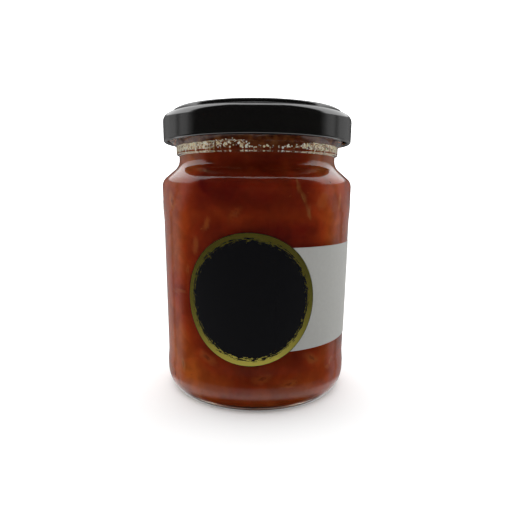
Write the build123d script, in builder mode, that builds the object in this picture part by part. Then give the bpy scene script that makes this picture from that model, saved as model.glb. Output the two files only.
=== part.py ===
"""Small glass jar of marmalade, closed with a twist-off metal cap.

Round glass jar with a recessed label panel, a rounded heel and a threaded finish, filled with
marmalade to just under the cap, with a round label on the front and a paper label beside it.
Millimetres, +Z up. The origin is the centre of the foot, on the surface the jar stands on,
and the front of the jar faces -Y.
"""

import os
from math import asin, atan2, cos, degrees, pi, radians, sin, tan

from build123d import *

FRONT = -90.0  # direction of the jar's front, in degrees from +X

# ---- Glass body ----
panel_radius = 33.7  # label panel, the straight part of the wall
shoulder_proud = 0.2  # how far the shoulder band stands out from the label panel
heel_proud = 0.35  # how far the heel band stands out from the label panel
panel_bottom = 13.5
panel_top = 62.0
band_blend = 3.8  # height over which the wall steps out to a band
band_bend = 6.0  # radius of that step's two bends
shoulder_corner = 75.6  # height where the upright wall and the shoulder slope would meet
shoulder_slope = 50.0  # degrees that the shoulder leans in from upright
shoulder_bend = 3.8
neck_bend = 4.4
wall = 2.2

# ---- Foot ----
heel_width = 5.9  # half axes of the quarter ellipse that rounds the heel
heel_height = 8.3
heel_cut = 1.1  # how much of the ellipse the flat foot cuts away
foot_round = 0.4
foot_land = 4.5  # width of the ring that the jar stands on
push_up = 0.8  # how far the underside is domed upwards
base_thickness = 2.3
inner_heel_bend = 3.6

# ---- Neck and finish ----
neck_radius = 27.75
neck_wall = 2.25
neck_length = 3.64  # from where the shoulder slope would meet the neck up to the bead
bead_proud = 0.95  # how far the bead stands out from the neck
bead_height = 2.9
bead_step = 0.4  # height over which the neck steps out to the bead
bead_flare = 1.6  # height of the cone between the bead and the finish
finish_proud = 2.55  # how far the finish stands out from the neck
finish_height = 14.1  # bottom of the bead to the sealing rim
rim_inset = 1.9  # how much narrower the rim is than the finish
rim_step = 3.2  # how far below the rim the finish starts to narrow
rim_round = 0.8

# ---- Threads on the finish ----
thread_count = 4
thread_depth = 0.9
thread_height = 1.5
thread_root = 0.5  # how far each thread is sunk into the finish
thread_round = 0.45
thread_lead = 25.5  # rise for a whole turn
thread_span = 56.0  # degrees of one thread
thread_start = -3.0  # degrees from the front to the low end of the first one
thread_drop = 8.5  # how far below the rim the middle of each thread lies

# ---- Marmalade ----
fill_gap = 0.05  # between the marmalade and the glass
head_space = 7.5  # between the marmalade and the rim

# ---- Cap ----
cap_sheet = 0.55
cap_gap = 1.25  # between the threads and the inside of the skirt
cap_depth = 10.65  # top of the cap to its lower edge
curl_radius = 0.75
cap_shoulder_bend = 2.3
ledge_drop = 1.35  # the ledge inside the shoulder lies this far below the top
ledge_fall = 0.45  # how far the ledge slopes down towards the shoulder
ring_gap = 0.42  # between the rim and the side of the raised ring
ring_width = 5.2
ring_bend = 0.7
small_bend = 0.2
panel_sink = 0.7  # the middle of the top lies this far below the ring
button_radius = 9.5
button_rise = 0.3
button_slope = 2.0
lug_gap = 0.25  # between a lug and the finish
lug_height = 1.3
lug_span = 11.0  # degrees
lug_lead = 17.0  # degrees from the middle of a thread to the lug under it

# ---- Labels ----
label_thickness = 0.12
label_gap = 0.02  # under each label
round_label_radius = 21.6
round_label_middle = 38.6
round_label_turn = -3.6  # degrees from the front, towards -X if negative
round_label_points = 24
side_label_height = 33.8
side_label_middle = 38.5
side_label_start = 12.0  # degrees from the front
side_label_length = 81.0
step_width = 0.8  # width of the round label's step up onto the side label

# ---- Sizes that follow ----
shoulder_radius = panel_radius + shoulder_proud
heel_radius = panel_radius + heel_proud
heel_top = heel_height - heel_cut
heel_start = -degrees(asin(heel_top / heel_height))
foot_radius = heel_radius - heel_width + heel_width * cos(radians(heel_start))
dome_edge = foot_radius - foot_land
dome_radius = (dome_edge**2 + push_up**2) / (2 * push_up)
dome_angle = degrees(asin(dome_edge / dome_radius))
neck_corner = shoulder_corner + (shoulder_radius - neck_radius) / tan(radians(shoulder_slope))
bore_radius = neck_radius - neck_wall
bead_radius = neck_radius + bead_proud
bead_bottom = neck_corner + neck_length
finish_radius = neck_radius + finish_proud
rim_radius = finish_radius - rim_inset
jar_height = bead_bottom + finish_height
inner_wall = panel_radius - wall
rim_slope = jar_height - rim_step
fill_level = jar_height - head_space
cap_radius = finish_radius + thread_depth + cap_gap + cap_sheet
cap_top = jar_height + cap_sheet
curl_middle = cap_top - cap_depth + curl_radius
label_face = panel_radius + label_gap
raised_face = label_face + label_thickness + label_gap
side_label_angle = degrees(side_label_length / label_face)


def upright(angle):
    """The plane through the jar's axis at this many degrees from the front, x outwards."""
    outwards = radians(FRONT + angle)
    return Plane(
        (0, 0, 0),
        x_dir=(cos(outwards), sin(outwards), 0),
        z_dir=(sin(outwards), -cos(outwards), 0),
    )


def cavity(gap, top):
    """Half outline of the jar's inside, this far from the glass and up to this height."""
    radius = inner_wall - gap
    bore = bore_radius - gap
    lower = shoulder_corner - (wall + gap) * tan(radians(shoulder_slope / 2))
    upper = lower + (radius - bore) / tan(radians(shoulder_slope))
    FilletPolyline(
        (0, base_thickness + gap),
        (radius, base_thickness + gap),
        (radius, lower),
        (bore, upper),
        (bore, top),
        radius=(inner_heel_bend, shoulder_bend - wall / 2, neck_bend + wall / 2),
    )


def tube_piece(start, end, inner, outer, low, high):
    """Adds part of a tube between two angles from the front, two radii and two heights."""
    with BuildSketch(upright(start)) as section:
        with Locations(((inner + outer) / 2, (low + high) / 2)):
            Rectangle(outer - inner, high - low)
    revolve(section.sketch, axis=Axis.Z, revolution_arc=end - start)


# ---- Jar: moulded glass, one piece with its bead, its finish and four threads ----
with BuildPart() as jar:
    with BuildSketch(Plane.XZ) as jar_section:
        with BuildLine():
            CenterArc((0, push_up - dome_radius), dome_radius, 90, -dome_angle)
            Line((dome_edge, 0), (foot_radius, 0))
            EllipticalCenterArc(
                (heel_radius - heel_width, heel_top),
                heel_width,
                heel_height,
                start_angle=heel_start,
                arc_size=-heel_start,
            )
            FilletPolyline(
                (heel_radius, heel_top),
                (heel_radius, panel_bottom - band_blend),
                (panel_radius, panel_bottom),
                (panel_radius, panel_top),
                (shoulder_radius, panel_top + band_blend),
                (shoulder_radius, shoulder_corner),
                (neck_radius, neck_corner),
                (neck_radius, bead_bottom - bead_step),
                (bead_radius, bead_bottom),
                (bead_radius, bead_bottom + bead_height),
                (finish_radius, bead_bottom + bead_height + bead_flare),
                (finish_radius, rim_slope),
                (rim_radius, rim_slope + rim_inset),
                (rim_radius, jar_height),
                (bore_radius, jar_height),
                (bore_radius, rim_slope),
                radius=(band_bend,) * 4
                + (shoulder_bend, neck_bend, bead_step / 2)
                + (bead_step,) * 3
                + (rim_round, bead_step, rim_round, rim_round),
            )
            cavity(0, rim_slope)
            Line((0, push_up), (0, base_thickness))
        make_face()
        foot_corner = jar_section.vertices().sort_by_distance((foot_radius, 0, 0))[0]
        fillet(foot_corner, foot_round)
    revolve(axis=Axis.Z)
    thread_tilt = degrees(atan2(thread_lead, 2 * pi * finish_radius))
    for number in range(thread_count):
        middle = thread_start + thread_span / 2 + number * 360 / thread_count
        level = Plane((0, 0, jar_height - thread_drop), x_dir=upright(middle).x_dir)
        ring = level.rotated((thread_tilt, 0, 0))
        start = ring.rotated((0, 0, -thread_span / 2))
        side = Plane(ring.origin, x_dir=start.x_dir, z_dir=-start.y_dir)
        with BuildSketch(side):
            with Locations((finish_radius + (thread_depth - thread_root) / 2, 0)):
                RectangleRounded(thread_depth + thread_root, thread_height, thread_round)
        revolve(axis=Axis(ring.origin, ring.z_dir), revolution_arc=thread_span)
jar.part.label = "jar"

# ---- Marmalade: one solid that fills the jar to its level ----
with BuildPart() as marmalade:
    with BuildSketch(Plane.XZ):
        with BuildLine():
            cavity(fill_gap, fill_level)
            Polyline(
                (bore_radius - fill_gap, fill_level),
                (0, fill_level),
                (0, base_thickness + fill_gap),
            )
        make_face()
    revolve(axis=Axis.Z)
marmalade.part.label = "marmalade"

# ---- Cap: one stamped sheet with a curled edge, a raised ring over the rim and four lugs ----
with BuildPart() as lid:
    ring_outer = rim_radius + ring_gap + cap_sheet
    ring_inner = ring_outer - ring_width
    panel_face = cap_top - panel_sink
    ledge_edge = cap_top - ledge_drop - ledge_fall
    with BuildSketch(Plane.XZ):
        with BuildLine():
            FilletPolyline(
                (0, panel_face + button_rise),
                (button_radius - button_slope, panel_face + button_rise),
                (button_radius, panel_face),
                (ring_inner, panel_face),
                (ring_inner, cap_top),
                (ring_outer, cap_top),
                (ring_outer, cap_top - ledge_drop),
                (cap_radius, ledge_edge),
                (cap_radius, curl_middle),
                (cap_radius - cap_sheet, curl_middle),
                (cap_radius - cap_sheet, ledge_edge - cap_sheet),
                (ring_outer - cap_sheet, cap_top - ledge_drop - cap_sheet),
                (ring_outer - cap_sheet, jar_height),
                (ring_inner + cap_sheet, jar_height),
                (ring_inner + cap_sheet, panel_face - cap_sheet),
                (button_radius, panel_face - cap_sheet),
                (button_radius - button_slope, panel_face + button_rise - cap_sheet),
                (0, panel_face + button_rise - cap_sheet),
                radius=(button_slope, button_slope, small_bend, ring_bend / 2, ring_bend)
                + (small_bend, cap_shoulder_bend, 0, 0, cap_shoulder_bend - cap_sheet)
                + (small_bend,) * 4
                + (button_slope, button_slope),
            )
            Line((0, panel_face + button_rise), (0, panel_face + button_rise - cap_sheet))
        make_face()
    revolve(axis=Axis.Z)
    with BuildSketch(Plane.XZ):
        with Locations((cap_radius - curl_radius, curl_middle)):
            Circle(curl_radius)
    revolve(axis=Axis.Z)
    lug_inner = finish_radius + lug_gap
    for number in range(thread_count):
        middle = thread_start + thread_span / 2 + lug_lead + number * 360 / thread_count
        tube_piece(
            middle - lug_span / 2,
            middle + lug_span / 2,
            lug_inner,
            cap_radius - curl_radius,
            curl_middle - lug_height / 2,
            curl_middle + lug_height / 2,
        )
lid.part.label = "lid"

# ---- Side label: a paper strip round the label panel, its start under the round label ----
with BuildPart() as side_label:
    tube_piece(
        side_label_start,
        side_label_start + side_label_angle,
        label_face,
        label_face + label_thickness,
        side_label_middle - side_label_height / 2,
        side_label_middle + side_label_height / 2,
    )
side_label.part.label = "side_label"

# ---- Round label: a disc of film wrapped on the panel, stepping up onto the side label ----
with BuildPart() as front_label:
    step_end = side_label_start - degrees(label_gap / label_face)
    step_start = step_end - degrees(step_width / label_face)
    reach = degrees(round_label_radius / label_face) + 5
    for start, end, inner, outer in (
        (round_label_turn - reach, step_start, label_face, label_face + label_thickness),
        (step_start, step_end, label_face, raised_face + label_thickness),
        (step_end, round_label_turn + reach, raised_face, raised_face + label_thickness),
    ):
        tube_piece(
            start,
            end,
            inner,
            outer,
            round_label_middle - round_label_radius,
            round_label_middle + round_label_radius,
        )
    outwards = upright(round_label_turn).x_dir
    with BuildSketch(Plane((0, 0, 0), x_dir=(-outwards.Y, outwards.X, 0), z_dir=outwards)):
        with BuildLine():
            rim = []
            for number in range(round_label_points):
                turn = 2 * pi * number / round_label_points
                along = round_label_radius * cos(turn) / label_face
                up = round_label_radius * sin(turn)
                rim.append((label_face * sin(along), round_label_middle + up))
            Spline(*rim, periodic=True)
        make_face()
    extrude(amount=2 * panel_radius, mode=Mode.INTERSECT)
front_label.part.label = "front_label"

os.makedirs("parts", exist_ok=True)
for node in (jar, marmalade, lid, side_label, front_label):
    export_step(node.part, f"parts/{node.part.label}.step")
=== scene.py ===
"""A small glass jar of orange marmalade with a black twist-off lid and two labels."""

import math
import random

import bpy
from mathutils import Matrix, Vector, noise


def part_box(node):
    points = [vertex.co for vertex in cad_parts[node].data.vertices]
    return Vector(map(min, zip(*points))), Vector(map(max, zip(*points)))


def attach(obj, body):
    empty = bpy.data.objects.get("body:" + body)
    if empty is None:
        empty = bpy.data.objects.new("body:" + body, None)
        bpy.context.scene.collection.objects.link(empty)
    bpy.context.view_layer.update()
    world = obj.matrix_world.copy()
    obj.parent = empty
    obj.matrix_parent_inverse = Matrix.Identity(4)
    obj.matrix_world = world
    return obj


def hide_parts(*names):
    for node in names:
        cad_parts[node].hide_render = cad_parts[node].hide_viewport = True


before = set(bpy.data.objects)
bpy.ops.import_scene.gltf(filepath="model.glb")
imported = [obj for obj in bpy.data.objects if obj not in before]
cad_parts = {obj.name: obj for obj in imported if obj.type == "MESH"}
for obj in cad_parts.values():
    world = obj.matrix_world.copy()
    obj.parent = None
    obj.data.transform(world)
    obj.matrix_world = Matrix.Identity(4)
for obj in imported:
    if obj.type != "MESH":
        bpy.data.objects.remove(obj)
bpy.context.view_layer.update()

# ---------------------------------------------------------------------------------------------
# The jar: clear soda-lime glass, blown in a mould. It has a recessed label panel between two
# bands, a rounded heel on a domed foot, and a finish with a bead and four twist-off threads.
# ---------------------------------------------------------------------------------------------
# Lengths are in millimetres, and MM makes them metres.
MM = 0.001
panel_radius = 33.7
shoulder_radius = 33.9
heel_radius = 34.05
wall = 2.2
neck_radius = 27.75
bead_radius = 28.7
bead_bottom = 84.4
bead_top = 87.3
finish_radius = 30.3
finish_bottom = 88.9
bore_radius = 25.5
rim_radius = 28.4
jar_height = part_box("jar")[1][2] / MM
inner_wall = panel_radius - wall
base_thickness = 2.3
foot_ring, push_up = 26.6, 0.8
ROUND_STEPS = 256


def bent(points, bends, pieces=6):
    """The outline through these (radius, height) corners, each inner corner rounded by its bend."""
    outline = [Vector(points[0])]
    for before, corner, after, bend in zip(points, points[1:], points[2:], bends):
        before, corner, after = Vector(before), Vector(corner), Vector(after)
        into, out = (before - corner).normalized(), (after - corner).normalized()
        half = into.angle(out) / 2
        if bend == 0 or half > math.radians(89.5):
            outline.append(corner)
            continue
        reach = bend / math.tan(half)
        middle = corner + (into + out).normalized() * bend / math.sin(half)
        first = corner + into * reach - middle
        last = corner + out * reach - middle
        turn = first.angle_signed(last)
        for step in range(pieces + 1):
            angle = -turn * step / pieces
            spoke = Vector((
                first.x * math.cos(angle) - first.y * math.sin(angle),
                first.x * math.sin(angle) + first.y * math.cos(angle),
            ))
            outline.append(middle + spoke)
    outline.append(Vector(points[-1]))
    return outline


def turned(name, outline):
    """A closed round piece: one point drawn out along the outline, then spun about the axis."""
    bpy.ops.object.select_all(action="DESELECT")
    start = outline[0]
    bpy.ops.mesh.primitive_circle_add(vertices=3, radius=MM, location=(0, 0, 0))
    piece = bpy.context.object
    piece.name = piece.data.name = name
    bpy.ops.object.mode_set(mode="EDIT")
    bpy.ops.mesh.select_all(action="SELECT")
    bpy.ops.mesh.merge(type="CENTER")
    bpy.ops.transform.translate(value=(start.x * MM, 0, start.y * MM))
    for here, there in zip(outline, outline[1:]):
        if (there - here).length < 1e-4:
            continue
        move = ((there.x - here.x) * MM, 0, (there.y - here.y) * MM)
        bpy.ops.mesh.extrude_region_move(TRANSFORM_OT_translate={"value": move})
    bpy.ops.mesh.select_all(action="SELECT")
    bpy.ops.mesh.spin(steps=ROUND_STEPS, angle=math.tau, center=(0, 0, 0), axis=(0, 0, 1))
    bpy.ops.mesh.select_all(action="SELECT")
    bpy.ops.mesh.remove_doubles(threshold=2e-6)
    bpy.ops.mesh.normals_make_consistent(inside=False)
    bpy.ops.object.mode_set(mode="OBJECT")
    bpy.ops.object.shade_smooth()
    return piece


def heading(x, y):
    """Degrees round the jar from its front, positive towards +X."""
    return math.degrees(math.atan2(x, -y))


def dense(outline, spacing):
    """The same outline with extra points, so that none lie further apart than the spacing."""
    fine = [outline[0]]
    for here, there in zip(outline, outline[1:]):
        parts = max(1, math.ceil((there - here).length / spacing))
        fine += [here.lerp(there, part / parts) for part in range(1, parts + 1)]
    return fine


def heel_curve():
    """The quarter ellipse of the heel, from the foot up to the heel band."""
    width, height, cut = 5.9, 8.3, 1.1
    low = -math.asin((height - cut) / height)
    centre = Vector((heel_radius - width, height - cut))
    angles = [low * (1 - step / 14) for step in range(15)]
    return [centre + Vector((width * math.cos(a), height * math.sin(a))) for a in angles]


dome = [Vector((foot_ring * step / 8, push_up * (1 - (step / 8) ** 2))) for step in range(9)]
body = bent(
    [(heel_radius, 7.2), (heel_radius, 9.7), (panel_radius, 13.5), (panel_radius, 62.0),
     (shoulder_radius, 65.8), (shoulder_radius, 75.6), (neck_radius, 80.76),
     (neck_radius, bead_bottom - 0.4), (bead_radius, bead_bottom), (bead_radius, bead_top),
     (finish_radius, finish_bottom)],
    [6, 6, 6, 6, 3.8, 4.4, 0.3, 0.5, 0.5],
)
finish = bent(
    [(finish_radius, finish_bottom), (finish_radius, jar_height - 3.2),
     (rim_radius, jar_height - 1.3), (rim_radius, jar_height), (bore_radius, jar_height),
     (bore_radius, 83.0)],
    [0.8, 0.4, 0.8, 0.8],
)
inside = bent(
    [(bore_radius, 83.0), (bore_radius, 79.6), (inner_wall, 74.55),
     (inner_wall, base_thickness), (0, base_thickness)],
    [5.5, 2.7, 3.6],
)
# Close rows on the outside of the finish, where the threads are raised.
finish = dense(finish[:14], 0.22) + finish[14:]
glass_outline = dome + heel_curve() + dense(body, 3.0) + finish + dense(inside, 4.0)
jar_glass = turned("jar_glass", glass_outline)

# Four threads: how far they stand out, half their width, their climb in a degree, the degrees that
# each one takes, its start's height, and the degrees over which it grows and dies away.
THREAD_DEPTH, THREAD_HALF = 0.9, 0.95
THREAD_RISE, THREAD_SPAN, THREAD_LOW = 25.5 / 360, 56.0, 88.0
THREAD_START, THREAD_GROWS, THREAD_DIES = -3.0, 3.0, 6.0
for vertex in jar_glass.data.vertices:
    radius = math.hypot(vertex.co.x, vertex.co.y) / MM
    height = vertex.co.z / MM
    if radius < bead_radius - 0.2 or not 86.6 < height < 95.5:
        continue
    along = (heading(vertex.co.x, vertex.co.y) - THREAD_START) % 90
    if along > THREAD_SPAN:
        continue
    across = (height - THREAD_LOW - THREAD_RISE * along) / THREAD_HALF
    ends = min(1, along / THREAD_GROWS, (THREAD_SPAN - along) / THREAD_DIES)
    if abs(across) < 1 and ends > 0:
        lift = THREAD_DEPTH * (1 - across * across) ** 0.6 * ends ** 0.5
        target = finish_radius + lift if radius > finish_radius - 0.1 else radius + lift
        vertex.co.x *= target / radius
        vertex.co.y *= target / radius

glass = bpy.data.materials.new("clear_jar_glass")
glass.use_nodes = True
nodes, links = glass.node_tree.nodes, glass.node_tree.links
clear = nodes["Principled BSDF"]
clear.inputs["Transmission Weight"].default_value = 1.0
clear.inputs["IOR"].default_value = 1.5
clear.inputs["Roughness"].default_value = 0.015
coordinates = nodes.new("ShaderNodeTexCoord")


def speckle(scale, detail, distortion=0.0):
    """A noise pattern on the piece's own coordinates, in the material that is being made."""
    pattern = nodes.new("ShaderNodeTexNoise")
    pattern.inputs["Scale"].default_value = scale
    pattern.inputs["Detail"].default_value = detail
    pattern.inputs["Distortion"].default_value = distortion
    links.new(coordinates.outputs["Object"], pattern.inputs["Vector"])
    return pattern.outputs["Fac"]


# The glass looks yellow-green and darker where it is seen edge-on, in the ring of the foot.
FOOT_CLEAR, FOOT_DARK = 2.8, 0.6
foot_height = nodes.new("ShaderNodeSeparateXYZ")
links.new(coordinates.outputs["Object"], foot_height.inputs[0])
thick_foot = nodes.new("ShaderNodeMapRange")
thick_foot.inputs["From Min"].default_value = FOOT_CLEAR * MM
thick_foot.inputs["From Max"].default_value = FOOT_DARK * MM
links.new(foot_height.outputs["Z"], thick_foot.inputs["Value"])
tint = nodes.new("ShaderNodeMix")
tint.data_type = "RGBA"
tint.inputs["A"].default_value = (0.97, 0.985, 0.97, 1)
tint.inputs["B"].default_value = (0.46, 0.44, 0.24, 1)
links.new(thick_foot.outputs["Result"], tint.inputs["Factor"])
links.new(tint.outputs["Result"], clear.inputs["Base Color"])
ripple = nodes.new("ShaderNodeBump")
ripple.inputs["Strength"].default_value = 0.12
ripple.inputs["Distance"].default_value = 0.0004
links.new(speckle(90, 2), ripple.inputs["Height"])
links.new(ripple.outputs["Normal"], clear.inputs["Normal"])
open_to_lamps = nodes.new("ShaderNodeBsdfTransparent")
open_to_lamps.inputs["Color"].default_value = (0.95, 0.97, 0.95, 1)
light_path = nodes.new("ShaderNodeLightPath")
mix = nodes.new("ShaderNodeMixShader")
links.new(light_path.outputs["Is Shadow Ray"], mix.inputs["Fac"])
links.new(clear.outputs["BSDF"], mix.inputs[1])
links.new(open_to_lamps.outputs["BSDF"], mix.inputs[2])
links.new(mix.outputs["Shader"], nodes["Material Output"].inputs["Surface"])
jar_glass.data.materials.append(glass)
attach(jar_glass, "root")
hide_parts("jar")

# ---------------------------------------------------------------------------------------------
# The marmalade: a dark orange-red jelly, cooked down with shreds of peel, that fills the jar
# to just under the lid. It reaches a little into the glass, so that no air shows between them.
# ---------------------------------------------------------------------------------------------
FILL_OVERLAP, BASE_OVERLAP = 0.12, 0.4
fill_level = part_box("marmalade")[1][2] / MM
fill_outline = bent(
    [(0, base_thickness - BASE_OVERLAP), (inner_wall + FILL_OVERLAP, base_thickness - BASE_OVERLAP),
     (inner_wall + FILL_OVERLAP, 74.6), (bore_radius + FILL_OVERLAP, 79.65),
     (bore_radius + FILL_OVERLAP, fill_level), (0, fill_level)],
    [2.2, 2.8, 5.4, 0.5],
)
neck_part = next(i for i, point in enumerate(fill_outline) if point.y > 79.6)
fill_outline = dense(fill_outline[:neck_part + 1], 0.9) + dense(fill_outline[neck_part:], 0.3)[1:]
marmalade = turned("marmalade_fill", fill_outline)

# Foam skimmed to the top edge: heading, the height it reaches, and how thick it lies there.
FOAM_LOW = 85.15
FOAM = [(-180, 87.0, 0.6), (-140, 88.0, 0.9), (-104, 87.5, 0.8), (-78, 88.3, 1.0), (-40, 88.2, 0.95),
        (-30, 89.2, 0.62), (-10, 89.0, 0.55), (-4, 86.4, 0.6), (12, 86.3, 0.5), (24, 86.6, 0.55),
        (35, 87.6, 0.85), (48, 88.2, 1.0), (78, 88.3, 1.0), (118, 87.4, 0.8), (150, 86.6, 0.5),
        (180, 87.0, 0.6)]


def foam_cover(angle, height):
    """How much foam shows at this place on the glass, from 0 to 1."""
    angle = (angle + 180) % 360 - 180
    for (start, start_top, start_depth), (end, end_top, end_depth) in zip(FOAM, FOAM[1:]):
        if start <= angle <= end:
            part = (angle - start) / (end - start)
            top = start_top + (end_top - start_top) * part
            depth = start_depth + (end_depth - start_depth) * part
            rise = min(1, max(0, (height - FOAM_LOW) / 0.25))
            return depth * rise * min(1, max(0, (top - height) / 0.5))
    return 0


# Soft shreds and lumps under the surface: heading, height, length, width, tilt, curve and tone
# (0 red-brown, 0.5 amber, 1 green-gold).
random.seed(17)
SHREDS = [(-37, 55.5, 7.5, 3.4, 82, 0.4, 0.50), (-51, 12.5, 8.0, 2.8, 100, 0.3, 0.78),
          (36, 17.5, 9.5, 4.6, -35, 0.5, 0.50), (22.7, 74.0, 5.0, 1.7, 95, 0.2, 0.90),
          (25.8, 70.4, 9.0, 1.9, 118, 1.1, 0.92), (30.7, 66.0, 6.5, 1.9, 100, -0.6, 0.85),
          (-29, 62.5, 6.5, 2.4, 65, 0.3, 0.40), (-44, 47.0, 5.4, 2.0, 75, 0.2, 0.42),
          (56, 69.0, 8.0, 2.4, 85, 0.3, 0.72), (63, 60.0, 4.8, 1.6, 95, 0.2, 0.60),
          (-58, 69.0, 9.0, 5.0, 110, -0.4, 0.50), (40, 70.0, 9.0, 6.0, 60, 0.3, 0.42),
          (-12, 66.0, 6.6, 2.4, 40, 0.4, 0.24), (4, 12.0, 9.0, 4.2, 20, 0.5, 0.40),
          (-30, 18.0, 10.0, 4.5, -25, 0.5, 0.44), (20, 9.5, 8.0, 3.4, 10, 0.3, 0.44)]
for order in range(74):
    thin = random.random() < 0.5
    SHREDS.append((
        random.uniform(46, 312), random.uniform(6, 74),
        random.uniform(5, 11) if thin else random.uniform(3, 7),
        random.uniform(1.2, 2.2) if thin else random.uniform(2.2, 4.6),
        random.uniform(0, 180), random.uniform(-1.2, 1.2),
        random.uniform(0.2, 0.6) if random.random() < 0.85 else random.uniform(0.7, 1.0)))


def shred_shadow(angle, height, shred):
    """How strongly a shred shows at this place: 1 on its middle line, 0 past its soft edge."""
    middle, middle_height, length, width, tilt, curve, tone = shred
    up = height - middle_height
    if abs(up) > length:
        return 0
    sideways = math.radians((angle - middle + 180) % 360 - 180) * inner_wall
    if abs(sideways) > length:
        return 0
    turn = math.radians(tilt)
    along = (sideways * math.cos(turn) + up * math.sin(turn)) * 2 / length
    across = (up * math.cos(turn) - sideways * math.sin(turn) - curve * (along * along - 0.4))
    distance = math.hypot(along, across * 2 / width)
    return max(0, 1 - distance * distance)


def ease(value):
    """A smooth step from 0 to 1."""
    value = min(1, max(0, value))
    return value * value * (3 - 2 * value)


# The pulp value holds noise for the jelly's real clouding, and painted shade: it is painted low, dark
# and clear, in front, where little light falls, and higher, lighter and more orange, at the sides and
# the bottom, where light from the sides and the floor comes through. It also rises towards the neck.
pulp_and_painted_shade = marmalade.data.attributes.new("pulp", "FLOAT", "POINT")
for vertex in marmalade.data.vertices:
    x, y, z = vertex.co / MM
    around = abs(heading(x, y) + 2)
    # Painted shade: the front of the jelly is made dark, less so towards the bottom, and the sides are
    # left lighter.
    painted_front_shade = ease((52 - around) / 24) * ease((z - 6) / 26) * (1 - 0.35 * ease((70 - z) / 6) *
                                                                  ease((z - 60) / 6))
    drift = noise.noise(vertex.co * 42) + 0.5 * noise.noise(vertex.co * 95)
    lighter_towards_neck = ease((z - 74) / 5)
    pulp_and_painted_shade.data[vertex.index].value = (0.60 + 0.22 * drift + 0.22 * lighter_towards_neck -
                                            0.50 * painted_front_shade)

fruit_amount = marmalade.data.attributes.new("fruit", "FLOAT", "POINT")
fruit_tone = marmalade.data.attributes.new("fruit_tone", "FLOAT", "POINT")
for vertex in marmalade.data.vertices:
    x, y, z = vertex.co / MM
    if math.hypot(x, y) < inner_wall - 1.5 or z > 77:
        continue
    strongest = max((shred_shadow(heading(x, y), z, shred), shred[6]) for shred in SHREDS)
    fruit_amount.data[vertex.index].value = strongest[0]
    fruit_tone.data[vertex.index].value = strongest[1]

foam_amount = marmalade.data.attributes.new("foam", "FLOAT", "POINT")
for vertex in marmalade.data.vertices:
    x, y, z = vertex.co / MM
    foam_amount.data[vertex.index].value = foam_cover(heading(x, y), z) if z > FOAM_LOW else 0

jelly = bpy.data.materials.new("orange_jelly")
jelly.use_nodes = True
nodes, links = jelly.node_tree.nodes, jelly.node_tree.links
wet = nodes["Principled BSDF"]
wet.inputs["Roughness"].default_value = 0.35
wet.inputs["Specular IOR Level"].default_value = 0.05
wet.inputs["Subsurface Weight"].default_value = 0.3
wet.inputs["Subsurface Radius"].default_value = (1.0, 0.25, 0.08)
wet.inputs["Subsurface Scale"].default_value = 0.004
coordinates = nodes.new("ShaderNodeTexCoord")


def toned(source, stops):
    """The source's values turned into colours by the (position, colour) stops."""
    ramp = nodes.new("ShaderNodeValToRGB")
    while len(ramp.color_ramp.elements) < len(stops):
        ramp.color_ramp.elements.new(0.5)
    for element, (position, tone) in zip(ramp.color_ramp.elements, stops):
        element.position = position
        element.color = (*tone, 1)
    links.new(source, ramp.inputs["Fac"])
    return ramp.outputs["Color"]


def painted(name):
    """The values that the mesh carries under this name."""
    attribute = nodes.new("ShaderNodeAttribute")
    attribute.attribute_name = name
    return attribute.outputs["Fac"]


def sum_node(operation, first, second=None, third=None):
    """A Math node; each input is a number or another node's output."""
    node = nodes.new("ShaderNodeMath")
    node.operation = operation
    for socket, value in zip(node.inputs, (first, second, third)):
        if value is None:
            continue
        if isinstance(value, (int, float)):
            socket.default_value = value
        else:
            links.new(value, socket)
    return node.outputs[0]


def blended(amount, first, second, kind="MIX"):
    """Two colours mixed by an amount that is a number or another node's output."""
    mixer = nodes.new("ShaderNodeMix")
    mixer.data_type = "RGBA"
    mixer.blend_type = kind
    if isinstance(amount, float):
        mixer.inputs["Factor"].default_value = amount
    else:
        links.new(amount, mixer.inputs["Factor"])
    for socket, tone in ((mixer.inputs["A"], first), (mixer.inputs["B"], second)):
        if isinstance(tone, tuple):
            socket.default_value = (*tone, 1)
        else:
            links.new(tone, socket)
    return mixer.outputs["Result"]


def band(source, low, high):
    """0 below the low value, 1 above the high one, smooth between them."""
    ramp = nodes.new("ShaderNodeMapRange")
    ramp.interpolation_type = "SMOOTHSTEP"
    ramp.inputs["From Min"].default_value = low
    ramp.inputs["From Max"].default_value = high
    links.new(source, ramp.inputs["Value"])
    return ramp.outputs["Result"]


# The jelly is deep red where the pulp value is low and more orange where it is high. That value holds
# real clouding and painted shade: dark in front, lighter at the sides and the bottom.
clouded_and_shaded = sum_node("MULTIPLY_ADD", speckle(75, 4, 0.8), 0.4, painted("pulp"))
cloud_and_shade_depth = nodes.new("ShaderNodeMapRange")
cloud_and_shade_depth.inputs["From Min"].default_value = 0.22
cloud_and_shade_depth.inputs["From Max"].default_value = 1.08
links.new(clouded_and_shaded, cloud_and_shade_depth.inputs["Value"])
depths = toned(cloud_and_shade_depth.outputs["Result"], [
    (0.0, (0.25, 0.009, 0.006)), (0.5, (0.65, 0.084, 0.015)), (1.0, (0.88, 0.220, 0.034))])
pulp = toned(speckle(150, 4, 0.4), [(0.40, (0.55, 0.50, 0.48)), (0.62, (1.0, 1.0, 1.0))])
body_tone = blended(0.55, depths, pulp, "MULTIPLY")

# Shreds that lie deeper in: soft patches with a frayed edge, under some of the jelly's colour.
zests = toned(painted("fruit_tone"), [
    (0.0, (0.68, 0.105, 0.020)), (0.45, (0.80, 0.230, 0.058)), (0.75, (0.86, 0.34, 0.115)),
    (1.0, (0.38, 0.160, 0.032))])
frayed = sum_node("MULTIPLY_ADD", speckle(420, 4), 0.9, painted("fruit"))
body_tone = blended(sum_node("MULTIPLY", band(frayed, 0.50, 1.45), 0.46), body_tone, zests)

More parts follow.
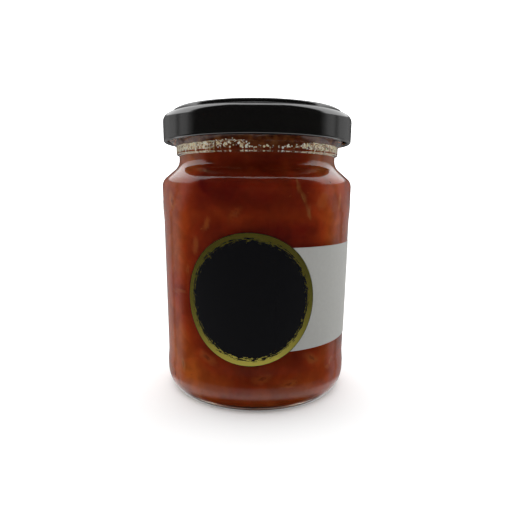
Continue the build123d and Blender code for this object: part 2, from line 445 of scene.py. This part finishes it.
# Above the foam a film has dried brown on the glass, and the foam itself is a bed of fine froth.
FILM_STARTS, FILM_FULL = 83.8, 86.8
place = nodes.new("ShaderNodeSeparateXYZ")
links.new(coordinates.outputs["Object"], place.inputs[0])
brown_top = band(place.outputs["Z"], FILM_STARTS * MM, FILM_FULL * MM)
dried = toned(speckle(420, 4), [(0.38, (0.22, 0.052, 0.016)), (0.66, (0.50, 0.165, 0.048))])
body_tone = blended(brown_top, body_tone, dried)
froth = toned(speckle(900, 3), [
    (0.36, (0.42, 0.24, 0.10)), (0.48, (0.88, 0.78, 0.56)), (0.60, (0.98, 0.96, 0.84))])
covered = sum_node("ADD", painted("foam"), speckle(1100, 3))
body_tone = blended(band(covered, 1.16, 1.28), body_tone, froth)
links.new(body_tone, wet.inputs["Base Color"])
marmalade.data.materials.append(jelly)
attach(marmalade, "root")
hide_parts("marmalade")

# ---------------------------------------------------------------------------------------------
# The foam: fine cream bubbles that were not skimmed off, held between the jelly and the neck.
# They are one mesh, thick at the sides and in a thin broken line across the front, and they glow
# faintly, as painted light.
# ---------------------------------------------------------------------------------------------
random.seed(41)


def pattern_ball(detail):
    """The points and faces of a small ball that the scattered pieces are copied from."""
    bpy.ops.object.select_all(action="DESELECT")
    bpy.ops.mesh.primitive_ico_sphere_add(subdivisions=detail, radius=1, location=(0, 0, 0))
    ball = bpy.context.object
    points = [vertex.co.copy() for vertex in ball.data.vertices]
    faces = [tuple(face.vertices) for face in ball.data.polygons]
    bpy.data.meshes.remove(ball.data)
    return points, faces


def on_wall(angle, height, radius):
    """A place at this heading, height and distance from the axis."""
    angle = math.radians(angle)
    return Vector((radius * math.sin(angle), -radius * math.cos(angle), height)) * MM


def joined(name, parts, faces, tones):
    """One smooth mesh of many copies of the ball, each copy with a tone of its own."""
    mesh = bpy.data.meshes.new(name)
    count = len(parts[0])
    mesh.from_pydata(
        [point for part in parts for point in part], [],
        [tuple(index + count * order for index in face)
         for order in range(len(parts)) for face in faces])
    mesh.polygons.foreach_set("use_smooth", [True] * len(mesh.polygons))
    tone = mesh.attributes.new("tone", "FLOAT", "POINT")
    tone.data.foreach_set("value", [value for value in tones for step in range(count)])
    piece = bpy.data.objects.new(name, mesh)
    bpy.context.scene.collection.objects.link(piece)
    return piece


BUBBLES, FOAM_HIGH = 1700, 89.2
ball_points, ball_faces = pattern_ball(2)
bubbles, bubble_tones = [], []
while len(bubbles) < BUBBLES:
    angle, height = random.uniform(-180, 180), random.uniform(FOAM_LOW, FOAM_HIGH)
    if random.random() > foam_cover(angle, height) ** 1.5:
        continue
    size = random.uniform(0.13, 0.26) if random.random() < 0.75 else random.uniform(0.26, 0.42)
    centre_radius = bore_radius + FILL_OVERLAP + random.uniform(-0.12, 0.02)
    squeeze = min(size, 0.17)
    bubble = []
    for point in ball_points:
        bubble.append(on_wall(angle + math.degrees(point.x * size / bore_radius),
                              height + point.z * size, centre_radius + point.y * squeeze))
    bubbles.append(bubble)
    bubble_tones.append(random.random())
foam = joined("foam_bubbles", bubbles, ball_faces, bubble_tones)

glowing_froth_skin = bpy.data.materials.new("cream_foam_painted_glow")
glowing_froth_skin.use_nodes = True
nodes, links = glowing_froth_skin.node_tree.nodes, glowing_froth_skin.node_tree.links
skin = nodes["Principled BSDF"]
skin.inputs["Roughness"].default_value = 0.3
skin.inputs["Specular IOR Level"].default_value = 0.3
skin.inputs["Subsurface Weight"].default_value = 0.2
skin.inputs["Subsurface Radius"].default_value = (1.0, 0.7, 0.4)
skin.inputs["Subsurface Scale"].default_value = 0.0004
creams = toned(painted("tone"), [
    (0.0, (0.34, 0.15, 0.04)), (0.25, (0.86, 0.72, 0.46)), (1.0, (1.0, 0.99, 0.90))])
links.new(creams, skin.inputs["Base Color"])
# Painted light: the foam glows faintly in its own colours, so that it looks lit under the lid's
# overhang.
links.new(creams, skin.inputs["Emission Color"])
skin.inputs["Emission Strength"].default_value = 0.26
foam.data.materials.append(glowing_froth_skin)
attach(foam, "root")

# ---------------------------------------------------------------------------------------------
# The fruit: shreds of orange peel and small lumps of pulp cooked into the jelly. The ones that
# lie against the glass show, softly and in tones close to the jelly's.
# ---------------------------------------------------------------------------------------------
random.seed(17)
SHRED_HALF, FLECKS = 0.22, 90
ball_points, ball_faces = pattern_ball(3)


def shred(angle, height, length, width, tilt, curve):
    """A flat pointed shred against the wall, tilted and curved; lengths in millimetres."""
    wobble = [random.uniform(0, math.tau) for step in range(3)]
    points = []
    for point in ball_points:
        taper = 1 + 0.22 * math.sin(3 * point.x + wobble[0]) + 0.12 * math.sin(9 * point.x + wobble[1])
        along = point.x * length / 2
        across = point.z * width / 2 * taper + curve * (point.x * point.x - 0.4)
        across += 0.07 * width * math.sin(7 * point.x + wobble[2])
        turn = math.radians(tilt)
        sideways = along * math.cos(turn) - across * math.sin(turn)
        up = along * math.sin(turn) + across * math.cos(turn)
        points.append(on_wall(angle + math.degrees(sideways / inner_wall), height + up,
                              inner_wall - SHRED_HALF + point.y * 2 * SHRED_HALF))
    return points


shreds, shred_tones = [], []
for middle, height, length, width, tilt, curve, tone_value in SHREDS:
    if random.random() < 0.6:
        continue
    shreds.append(shred(middle, height, length * 0.5, width * 0.42, tilt, curve * 0.4))
    shred_tones.append(tone_value * 0.8)
for order in range(FLECKS):
    shreds.append(shred(random.uniform(-180, 180), random.uniform(6, 75), random.uniform(0.5, 1.5),
                        random.uniform(0.25, 0.6), random.uniform(0, 180), 0))
    shred_tones.append(random.uniform(0, 0.7))
fruit = joined("peel_and_pulp", shreds, ball_faces, shred_tones)

peel = bpy.data.materials.new("candied_peel")
peel.use_nodes = True
nodes, links = peel.node_tree.nodes, peel.node_tree.links
zest = nodes["Principled BSDF"]
zest.inputs["Roughness"].default_value = 0.4
zest.inputs["Specular IOR Level"].default_value = 0.05
zest.inputs["Subsurface Weight"].default_value = 0.3
zest.inputs["Subsurface Radius"].default_value = (1.0, 0.35, 0.1)
zest.inputs["Subsurface Scale"].default_value = 0.002
coordinates = nodes.new("ShaderNodeTexCoord")
peels = toned(painted("tone"), [
    (0.0, (0.56, 0.066, 0.014)), (0.35, (0.62, 0.125, 0.030)), (0.62, (0.66, 0.195, 0.058)),
    (1.0, (0.36, 0.130, 0.026))])
cells = toned(speckle(700, 4), [(0.36, (0.55, 0.50, 0.45)), (0.64, (1.0, 1.0, 1.0))])
links.new(blended(0.6, peels, cells, "MULTIPLY"), zest.inputs["Base Color"])
fruit.data.materials.append(peel)
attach(fruit, "root")

# ---------------------------------------------------------------------------------------------
# The lid: a twist-off cap stamped from sheet steel and lacquered gloss black. A raised ring
# sits over the rim, the skirt ends in a curl, and four lugs of the curl hold the threads.
# ---------------------------------------------------------------------------------------------
lid_low, lid_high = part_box("lid")
cap_radius = lid_high[0] / MM
cap_top = lid_high[2] / MM
cap_edge = lid_low[2] / MM
SHEET, CURL = 0.55, 0.75
cap_outline = bent(
    [(0, cap_top - 0.4), (7.5, cap_top - 0.4), (9.5, cap_top - 0.7), (24.17, cap_top - 0.7),
     (24.4, cap_top), (29.37, cap_top), (29.45, cap_top - 1.35), (cap_radius, cap_top - 1.8),
     (cap_radius, cap_top - 4.1), (cap_radius, cap_edge), (cap_radius - 2 * CURL, cap_edge),
     (cap_radius - 2 * CURL, cap_edge + 2 * CURL), (cap_radius - SHEET, cap_edge + 2 * CURL),
     (cap_radius - SHEET, cap_top - 1.8 - SHEET), (28.82, cap_top - 1.35 - SHEET),
     (28.82, cap_top - SHEET), (24.72, cap_top - SHEET), (24.72, cap_top - 1.25),
     (0, cap_top - 1.25)],
    [1.5, 1.5, 0.25, 0.3, 0.65, 0.3, 2.3, 0, CURL * 0.98, CURL * 0.98, 0.3, 0.1, 1.7, 0.2, 0.2,
     0.2, 0.2],
)
cap = turned("twist_off_lid", dense(cap_outline, 3.0))
LUG_MIDDLE, LUG_HALF, LUG_DEPTH = 42.0, 7.0, 0.9
for vertex in cap.data.vertices:
    radius = math.hypot(vertex.co.x, vertex.co.y) / MM
    height = vertex.co.z / MM
    off = abs((heading(vertex.co.x, vertex.co.y) - LUG_MIDDLE + 45) % 90 - 45) / LUG_HALF
    if height > cap_edge + 2.2 * CURL or off >= 1:
        continue
    push = LUG_DEPTH * (1 - off * off) ** 2
    inward = 1 if radius < cap_radius - CURL else 0.3 * (cap_radius - radius) / CURL
    vertex.co.x *= (radius - push * inward) / radius
    vertex.co.y *= (radius - push * inward) / radius

lacquer = bpy.data.materials.new("black_lacquer")
lacquer.use_nodes = True
nodes, links = lacquer.node_tree.nodes, lacquer.node_tree.links
coat = nodes["Principled BSDF"]
coat.inputs["Base Color"].default_value = (0.008, 0.0075, 0.007, 1)
coat.inputs["IOR"].default_value = 2.05
coordinates = nodes.new("ShaderNodeTexCoord")
grain = speckle(260, 3)
gloss = nodes.new("ShaderNodeMapRange")
gloss.inputs["To Min"].default_value = 0.06
gloss.inputs["To Max"].default_value = 0.14
links.new(grain, gloss.inputs["Value"])
links.new(gloss.outputs["Result"], coat.inputs["Roughness"])
# The lacquer's faint unevenness, stronger over the corner where the sheet was stretched.
orange_skin = nodes.new("ShaderNodeBump")
orange_skin.inputs["Strength"].default_value = 0.08
orange_skin.inputs["Distance"].default_value = 0.0001
corner = nodes.new("ShaderNodeSeparateXYZ")
links.new(coordinates.outputs["Object"], corner.inputs[0])
at_corner = nodes.new("ShaderNodeMapRange")
at_corner.inputs["From Min"].default_value = (cap_top - 3.4) * MM
at_corner.inputs["From Max"].default_value = (cap_top - 2.4) * MM
at_corner.inputs["To Max"].default_value = 3.0
links.new(corner.outputs["Z"], at_corner.inputs["Value"])
faint_grain = sum_node("MULTIPLY", grain, 0.25)
pressed = sum_node("MULTIPLY_ADD", speckle(420, 1), at_corner.outputs["Result"], faint_grain)
links.new(pressed, orange_skin.inputs["Height"])
links.new(orange_skin.outputs["Normal"], coat.inputs["Normal"])
cap.data.materials.append(lacquer)
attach(cap, "root")
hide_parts("lid")

# ---------------------------------------------------------------------------------------------
# The round label: a disc of matt black film, hot-foiled with a gold ring whose inner edge is
# brushed out in streaks. It is wrapped on the panel and steps up over the side label's end.
# ---------------------------------------------------------------------------------------------
LABEL_THICKNESS = 0.12
label_face = panel_radius + 0.02
raised_face = label_face + LABEL_THICKNESS + 0.02
round_radius, round_middle, round_turn = 21.6, 38.6, -3.6
side_start = 12.0


def wrapped(name, rows, columns, place, thickness):
    """A grid wrapped on the jar by place(u, v) -> (degrees, height, radius), given a thickness."""
    bpy.ops.object.select_all(action="DESELECT")
    bpy.ops.mesh.primitive_grid_add(x_subdivisions=columns, y_subdivisions=rows, size=1)
    piece = bpy.context.object
    piece.name = piece.data.name = name
    for vertex in piece.data.vertices:
        angle, height, radius = place(vertex.co.x + 0.5, vertex.co.y + 0.5)
        angle = math.radians(angle)
        vertex.co = Vector((radius * math.sin(angle), -radius * math.cos(angle), height)) * MM
    bpy.ops.object.mode_set(mode="EDIT")
    bpy.ops.mesh.select_all(action="SELECT")
    bpy.ops.mesh.remove_doubles(threshold=1e-6)
    bpy.ops.mesh.normals_make_consistent(inside=False)
    bpy.ops.object.mode_set(mode="OBJECT")
    outwards = sum(face.normal.dot(face.center) * face.area for face in piece.data.polygons
                   if face.center.length)
    if outwards < 0:
        piece.data.flip_normals()
    skin = piece.modifiers.new("thickness", "SOLIDIFY")
    skin.thickness = thickness * MM
    skin.offset = 1
    bpy.ops.object.modifier_apply(modifier=skin.name)
    bpy.ops.object.shade_smooth_by_angle(angle=math.radians(40))
    return piece


def on_disc(u, v):
    """A place on the round label: u runs round it and v out from its middle."""
    turn, out = u * math.tau, round_radius * v
    across, up = out * math.cos(turn), out * math.sin(turn)
    angle = round_turn + math.degrees(across / label_face)
    blend = min(1, max(0, (angle - side_start + 1.2) / 1.2))
    blend = blend * blend * (3 - 2 * blend)
    return angle, round_middle + up, label_face + (raised_face - label_face) * blend


round_label = wrapped("round_label", 40, 180, on_disc, LABEL_THICKNESS)

foiled = bpy.data.materials.new("black_film_with_gold_foil")
foiled.use_nodes = True
nodes, links = foiled.node_tree.nodes, foiled.node_tree.links
film = nodes["Principled BSDF"]
film.inputs["Specular IOR Level"].default_value = 0.15
coordinates = nodes.new("ShaderNodeTexCoord")
split = nodes.new("ShaderNodeSeparateXYZ")
links.new(coordinates.outputs["Object"], split.inputs[0])
minus_y = sum_node("MULTIPLY", split.outputs["Y"], -1.0)
angle = sum_node("ARCTAN2", split.outputs["X"], minus_y)
across = sum_node("MULTIPLY", sum_node("SUBTRACT", angle, math.radians(round_turn)), label_face)
up = sum_node("SUBTRACT", sum_node("MULTIPLY", split.outputs["Z"], 1 / MM), round_middle)
out = sum_node("SQRT", sum_node("ADD", sum_node("MULTIPLY", across, across),
                                sum_node("MULTIPLY", up, up)))
turn = sum_node("ARCTAN2", up, across)
polar = nodes.new("ShaderNodeCombineXYZ")
links.new(sum_node("MULTIPLY", sum_node("COSINE", turn), 3.0), polar.inputs["X"])
links.new(sum_node("MULTIPLY", sum_node("SINE", turn), 3.0), polar.inputs["Y"])
links.new(sum_node("MULTIPLY", out, 0.9), polar.inputs["Z"])
bristles = nodes.new("ShaderNodeTexNoise")
bristles.inputs["Scale"].default_value = 2.6
bristles.inputs["Detail"].default_value = 6
bristles.inputs["Roughness"].default_value = 0.75
links.new(polar.outputs[0], bristles.inputs["Vector"])
# Distances from the label's middle: the brushed edge's mean, where the foil is whole, its outside.
BRUSHED_EDGE, WHOLE_FOIL, FOIL_OUTSIDE = 20.9, 20.1, 21.45
ragged = sum_node("MULTIPLY_ADD", bristles.outputs["Fac"], 9.0, -3.1)
edge = sum_node("SUBTRACT", BRUSHED_EDGE, ragged)
solid_foil = sum_node("GREATER_THAN", out, WHOLE_FOIL)
brushed_foil = sum_node("GREATER_THAN", out, edge)
trim = sum_node("LESS_THAN", out, FOIL_OUTSIDE)
foil = sum_node("MULTIPLY", sum_node("MAXIMUM", solid_foil, brushed_foil), trim)
colour = nodes.new("ShaderNodeMix")
colour.data_type = "RGBA"
colour.inputs["A"].default_value = (0.006, 0.006, 0.008, 1)
colour.inputs["B"].default_value = (1.0, 0.87, 0.17, 1)
links.new(foil, colour.inputs["Factor"])
links.new(colour.outputs["Result"], film.inputs["Base Color"])
links.new(foil, film.inputs["Metallic"])
links.new(sum_node("MULTIPLY_ADD", foil, -0.22, 0.5), film.inputs["Roughness"])
round_label.data.materials.append(foiled)
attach(round_label, "root")
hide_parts("front_label")

# ---------------------------------------------------------------------------------------------
# The side label: a strip of plain white label paper stuck round the panel. It starts under the
# round label and runs round to the right, and it is left bare.
# ---------------------------------------------------------------------------------------------
side_low, side_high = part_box("side_label")
side_length = 81.0


def on_strip(u, v):
    """A place on the side label: u runs along it and v up it."""
    angle = side_start + u * math.degrees(side_length / label_face)
    return angle, (side_low[2] + v * (side_high[2] - side_low[2])) / MM, label_face


side_label = wrapped("side_label_paper", 12, 120, on_strip, LABEL_THICKNESS)

paper = bpy.data.materials.new("white_label_paper")
paper.use_nodes = True
nodes, links = paper.node_tree.nodes, paper.node_tree.links
sheet = nodes["Principled BSDF"]
sheet.inputs["Roughness"].default_value = 0.6
coordinates = nodes.new("ShaderNodeTexCoord")
fibres = speckle(900, 4)
shade = toned(fibres, [(0.0, (0.53, 0.53, 0.50)), (1.0, (0.60, 0.60, 0.57))])
relief = nodes.new("ShaderNodeBump")
relief.inputs["Strength"].default_value = 0.1
relief.inputs["Distance"].default_value = 0.00005
links.new(shade, sheet.inputs["Base Color"])
links.new(fibres, relief.inputs["Height"])
links.new(relief.outputs["Normal"], sheet.inputs["Normal"])
side_label.data.materials.append(paper)
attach(side_label, "root")
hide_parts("side_label")

# ---------------------------------------------------------------------------------------------
# The room: a pale floor, an even white surround with a dark side where the viewer stands, and
# the camera just above the middle of the jar, tilted down.
# ---------------------------------------------------------------------------------------------
bpy.ops.object.select_all(action="DESELECT")
bpy.ops.mesh.primitive_plane_add(size=6, location=(0, 0, 0))
floor = bpy.context.object
floor.name = "floor"
white = bpy.data.materials.new("pale_floor")
white.use_nodes = True
nodes, links = white.node_tree.nodes, white.node_tree.links
matt = nodes["Principled BSDF"]
seen = nodes.new("ShaderNodeLightPath")
cast_light = nodes.new("ShaderNodeMapRange")
cast_light.inputs["To Min"].default_value = 0.5
cast_light.inputs["To Max"].default_value = 0.92
links.new(seen.outputs["Is Camera Ray"], cast_light.inputs["Value"])
links.new(cast_light.outputs["Result"], matt.inputs["Base Color"])
glow = nodes.new("ShaderNodeMapRange")
glow.inputs["To Max"].default_value = 0.12
links.new(seen.outputs["Is Camera Ray"], glow.inputs["Value"])
links.new(glow.outputs["Result"], matt.inputs["Emission Strength"])
matt.inputs["Roughness"].default_value = 0.9
matt.inputs["Specular IOR Level"].default_value = 0.1
matt.inputs["Emission Color"].default_value = (1, 1, 1, 1)
floor.visible_glossy = False
floor.data.materials.append(white)

world = bpy.data.worlds.new("white_surround")
bpy.context.scene.world = world
world.use_nodes = True
nodes, links = world.node_tree.nodes, world.node_tree.links
nodes.clear()
direction = nodes.new("ShaderNodeTexCoord")
parts = nodes.new("ShaderNodeSeparateXYZ")
links.new(direction.outputs["Generated"], parts.inputs[0])
minus_y = sum_node("MULTIPLY", parts.outputs["Y"], -1.0)
bearing = sum_node("ARCTAN2", parts.outputs["X"], minus_y)
height = parts.outputs["Z"]

# Mirrored in gloss: grey walls, bright windows at both sides and a dark front.
side = sum_node("ABSOLUTE", bearing)
below = band(height, 0.02, -0.08)
turned_part = sum_node("MULTIPLY", sum_node("MULTIPLY_ADD", below, math.radians(-20), side),
                       1 / math.pi)
WALLS = [(77, 0.01), (84, 0.14), (90, 0.34), (99, 0.38), (106, 0.16), (113, 0.38), (136, 0.32),
         (152, 0.13)]
walls = toned(turned_part, [(degrees / 180, (level, level, level)) for degrees, level in WALLS])
behind = sum_node("MULTIPLY", band(side, math.radians(80), math.radians(92)),
                  band(side, math.radians(166), math.radians(156)))
high_windows = sum_node("MULTIPLY", band(height, 0.24, 0.34), behind)
overhead = sum_node("MAXIMUM", band(height, 0.93, 0.985), high_windows)
near_table = sum_node("MULTIPLY", band(height, -0.36, -0.50),
                      band(height, -0.80, -0.62))
mirrored = sum_node("MAXIMUM", walls, sum_node("MULTIPLY", overhead, 1.7))
mirrored = sum_node("MAXIMUM", mirrored, sum_node("MULTIPLY", near_table, 0.95))
# Lighting everything else: bright sides and ceiling, and a dim front.
dim = sum_node("MULTIPLY", band(bearing, math.radians(-104), math.radians(-68)),
               band(bearing, math.radians(110), math.radians(72)))
dim = sum_node("MULTIPLY", dim, band(height, 0.95, 0.70))
lighting = sum_node("MULTIPLY_ADD", dim, -1.9, 2.0)
path = nodes.new("ShaderNodeLightPath")
strength = nodes.new("ShaderNodeMix")
links.new(path.outputs["Is Glossy Ray"], strength.inputs["Factor"])
links.new(lighting, strength.inputs["A"])
links.new(mirrored, strength.inputs["B"])
strength = sum_node("MAXIMUM", strength.outputs["Result"], path.outputs["Is Camera Ray"])
background = nodes.new("ShaderNodeBackground")
background.inputs["Color"].default_value = (1, 1, 1, 1)
links.new(strength, background.inputs["Strength"])
output = nodes.new("ShaderNodeOutputWorld")
links.new(background.outputs[0], output.inputs["Surface"])

CAMERA_DISTANCE, CAMERA_HEIGHT = 172.2, 72.7
CAMERA_TILT, CAMERA_ROLL = 13.58, 0.486
camera_data = bpy.data.cameras.new("camera")
camera = bpy.data.objects.new("camera", camera_data)
bpy.context.scene.collection.objects.link(camera)
camera_data.sensor_width = 36.0
camera_data.lens = 32.0
camera_data.shift_x = -0.0015
camera_data.shift_y = 0.086
camera_data.clip_start = 0.005
camera.location = (0, -CAMERA_DISTANCE * MM, CAMERA_HEIGHT * MM)
camera.rotation_euler = (math.radians(90 - CAMERA_TILT), -math.radians(CAMERA_ROLL), 0)
bpy.context.scene.camera = camera
bpy.context.scene.view_settings.view_transform = "Standard"
